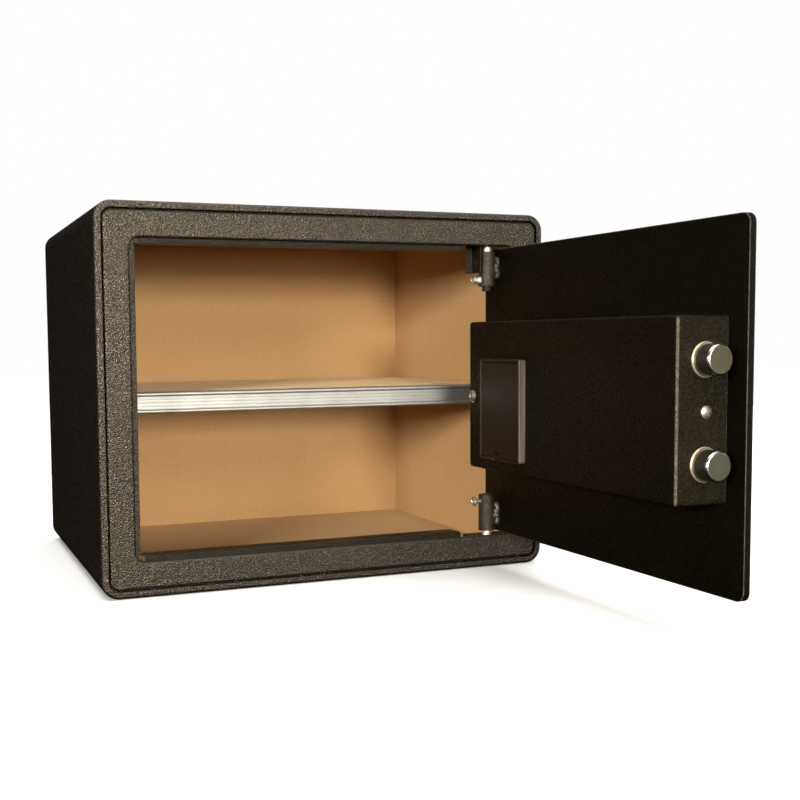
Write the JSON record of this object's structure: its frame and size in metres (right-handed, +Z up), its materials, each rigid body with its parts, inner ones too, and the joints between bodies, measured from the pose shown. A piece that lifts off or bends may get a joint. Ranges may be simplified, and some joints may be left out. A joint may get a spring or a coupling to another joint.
{
  "type": "in-room safe",
  "caption": "Compact in-room safe with an open hinged door, two live bolts, an inner lock box, a carpet-lined interior and one removable shelf.",
  "frame": {"origin": "centre of the base, on the surface the safe stands on", "axes": "+Z up, -Y towards the user who faces the door opening, +X to the user's right, the hinge side"},
  "size_m": [0.38, 0.5914, 0.3],
  "materials": {
    "body_paint": "textured powder coat",
    "door_paint": "textured powder coat",
    "carpet": "needle-felt carpet",
    "board": "plain chipboard",
    "trim": "satin extruded",
    "bolt_steel": "polished",
    "zinc": "bright zinc plated",
    "weld": "painted weld bead",
    "bush": "turned",
    "plastic": "fine grain",
    "keys": "silicone",
    "lens": "smoked red",
    "board_green": "coated circuit board",
    "cells": "plain sleeve",
    "coil": "wound coil and frame",
    "spring": "drawn wire"
  },
  "bodies": {
    "body": {"body_shell": "body_paint", "back_panel": "body_paint", "front_frame": "body_paint", "door_stop": "body_paint", "hinge_lugs": "body_paint", "hinge_bracket": "body_paint", "carpet_floor": "carpet", "carpet_back": "carpet", "carpet_left": "carpet", "carpet_right": "carpet", "carpet_ceiling": "carpet", "shelf_pins": "zinc"},
    "shelf": {"shelf_board": "board", "shelf_carpet": "carpet", "shelf_trim": "trim"},
    "door": {"door_plate": "door_paint", "hinge_barrels": "door_paint", "hinge_pins": "zinc", "hinge_screws": "zinc", "hinge_welds": "weld", "lock_cover": "door_paint", "cover_screws": "zinc", "cover_tabs": "zinc", "bolt_bushes": "bush", "lock_base": "zinc", "solenoid": "coil", "plunger_spring": "spring", "control_board": "board_green", "battery_holder": "plastic", "batteries": "cells", "battery_contacts": "zinc", "keypad_bezel": "plastic", "keypad_mat": "keys", "status_lens": "lens", "cylinder_housing": "zinc", "cover_rivet": "zinc"},
    "bolts": {"locking_bolts": "bolt_steel", "bolt_carriage": "zinc"},
    "knob_assembly": {"knob": "zinc", "knob_spindle": "zinc", "drive_cam": "zinc"},
    "battery_lid": {"battery_cover": "plastic"},
    "plunger": {"solenoid_plunger": "zinc"},
    "override_plug": {"key_cylinder": "bush"},
    "override_flap": {"override_cover": "plastic"},
    "button_1": {"key_1": "keys"},
    "button_2": {"key_2": "keys"},
    "button_3": {"key_3": "keys"},
    "button_4": {"key_4": "keys"},
    "button_5": {"key_5": "keys"},
    "button_6": {"key_6": "keys"},
    "button_7": {"key_7": "keys"},
    "button_8": {"key_8": "keys"},
    "button_9": {"key_9": "keys"},
    "button_clear": {"key_clear": "keys"},
    "button_0": {"key_0": "keys"},
    "button_enter": {"key_enter": "keys"}
  },
  "joints": [
    {"name": "door_hinge", "type": "hinge", "parent": "body", "child": "door", "pos_m": [0.144, -0.1357, 0.15], "axis": [0, 0, 1], "range_deg": [-91.3, 5]},
    {"name": "shelf_lift", "type": "slide", "parent": "body", "child": "shelf", "axis": [0, 0, 1], "range_m": [0, 0.04]},
    {"name": "bolt_throw", "type": "slide", "parent": "door", "child": "bolts", "axis": [0.0227, -0.9997, 0], "range_m": [0, 0.011]},
    {"name": "knob_turn", "type": "hinge", "parent": "door", "child": "knob_assembly", "pos_m": [0.16281, -0.33432, 0.1482], "axis": [0.9997, 0.0227, 0], "range_deg": [0, 90]},
    {"name": "battery_lid_swing", "type": "hinge", "parent": "door", "child": "battery_lid", "pos_m": [0.11077, -0.21848, 0.1758], "axis": [-0.0227, 0.9997, 0], "range_deg": [0, 90]},
    {"name": "plunger_pull", "type": "slide", "parent": "door", "child": "plunger", "axis": [0, 0, 1], "range_m": [0, 0.003], "stiffness_N_per_m": 150, "springref_m": -0.002, "deforming": ["plunger_spring"]},
    {"name": "override_key_turn", "type": "hinge", "parent": "door", "child": "override_plug", "pos_m": [0.16213, -0.30433, 0.1942], "axis": [0.9997, 0.0227, 0], "range_deg": [0, 90]},
    {"name": "override_flap_swing", "type": "hinge", "parent": "door", "child": "override_flap", "pos_m": [0.16613, -0.30424, 0.2062], "axis": [0.9997, 0.0227, 0], "range_deg": [0, 100]},
    {"name": "press_1", "type": "slide", "parent": "door", "child": "button_1", "axis": [-0.9997, -0.0227, 0], "range_m": [0, 0.001], "stiffness_N_per_m": 400, "springref_m": -0.0005},
    {"name": "press_2", "type": "slide", "parent": "door", "child": "button_2", "axis": [-0.9997, -0.0227, 0], "range_m": [0, 0.001], "stiffness_N_per_m": 400, "springref_m": -0.0005},
    {"name": "press_3", "type": "slide", "parent": "door", "child": "button_3", "axis": [-0.9997, -0.0227, 0], "range_m": [0, 0.001], "stiffness_N_per_m": 400, "springref_m": -0.0005},
    {"name": "press_4", "type": "slide", "parent": "door", "child": "button_4", "axis": [-0.9997, -0.0227, 0], "range_m": [0, 0.001], "stiffness_N_per_m": 400, "springref_m": -0.0005},
    {"name": "press_5", "type": "slide", "parent": "door", "child": "button_5", "axis": [-0.9997, -0.0227, 0], "range_m": [0, 0.001], "stiffness_N_per_m": 400, "springref_m": -0.0005},
    {"name": "press_6", "type": "slide", "parent": "door", "child": "button_6", "axis": [-0.9997, -0.0227, 0], "range_m": [0, 0.001], "stiffness_N_per_m": 400, "springref_m": -0.0005},
    {"name": "press_7", "type": "slide", "parent": "door", "child": "button_7", "axis": [-0.9997, -0.0227, 0], "range_m": [0, 0.001], "stiffness_N_per_m": 400, "springref_m": -0.0005},
    {"name": "press_8", "type": "slide", "parent": "door", "child": "button_8", "axis": [-0.9997, -0.0227, 0], "range_m": [0, 0.001], "stiffness_N_per_m": 400, "springref_m": -0.0005},
    {"name": "press_9", "type": "slide", "parent": "door", "child": "button_9", "axis": [-0.9997, -0.0227, 0], "range_m": [0, 0.001], "stiffness_N_per_m": 400, "springref_m": -0.0005},
    {"name": "press_clear", "type": "slide", "parent": "door", "child": "button_clear", "axis": [-0.9997, -0.0227, 0], "range_m": [0, 0.001], "stiffness_N_per_m": 400, "springref_m": -0.0005},
    {"name": "press_0", "type": "slide", "parent": "door", "child": "button_0", "axis": [-0.9997, -0.0227, 0], "range_m": [0, 0.001], "stiffness_N_per_m": 400, "springref_m": -0.0005},
    {"name": "press_enter", "type": "slide", "parent": "door", "child": "button_enter", "axis": [-0.9997, -0.0227, 0], "range_m": [0, 0.001], "stiffness_N_per_m": 400, "springref_m": -0.0005}
  ],
  "couplings": [
    {"joint": "knob_turn", "follows": "bolt_throw", "rad_per_m": 142.8}
  ]
}
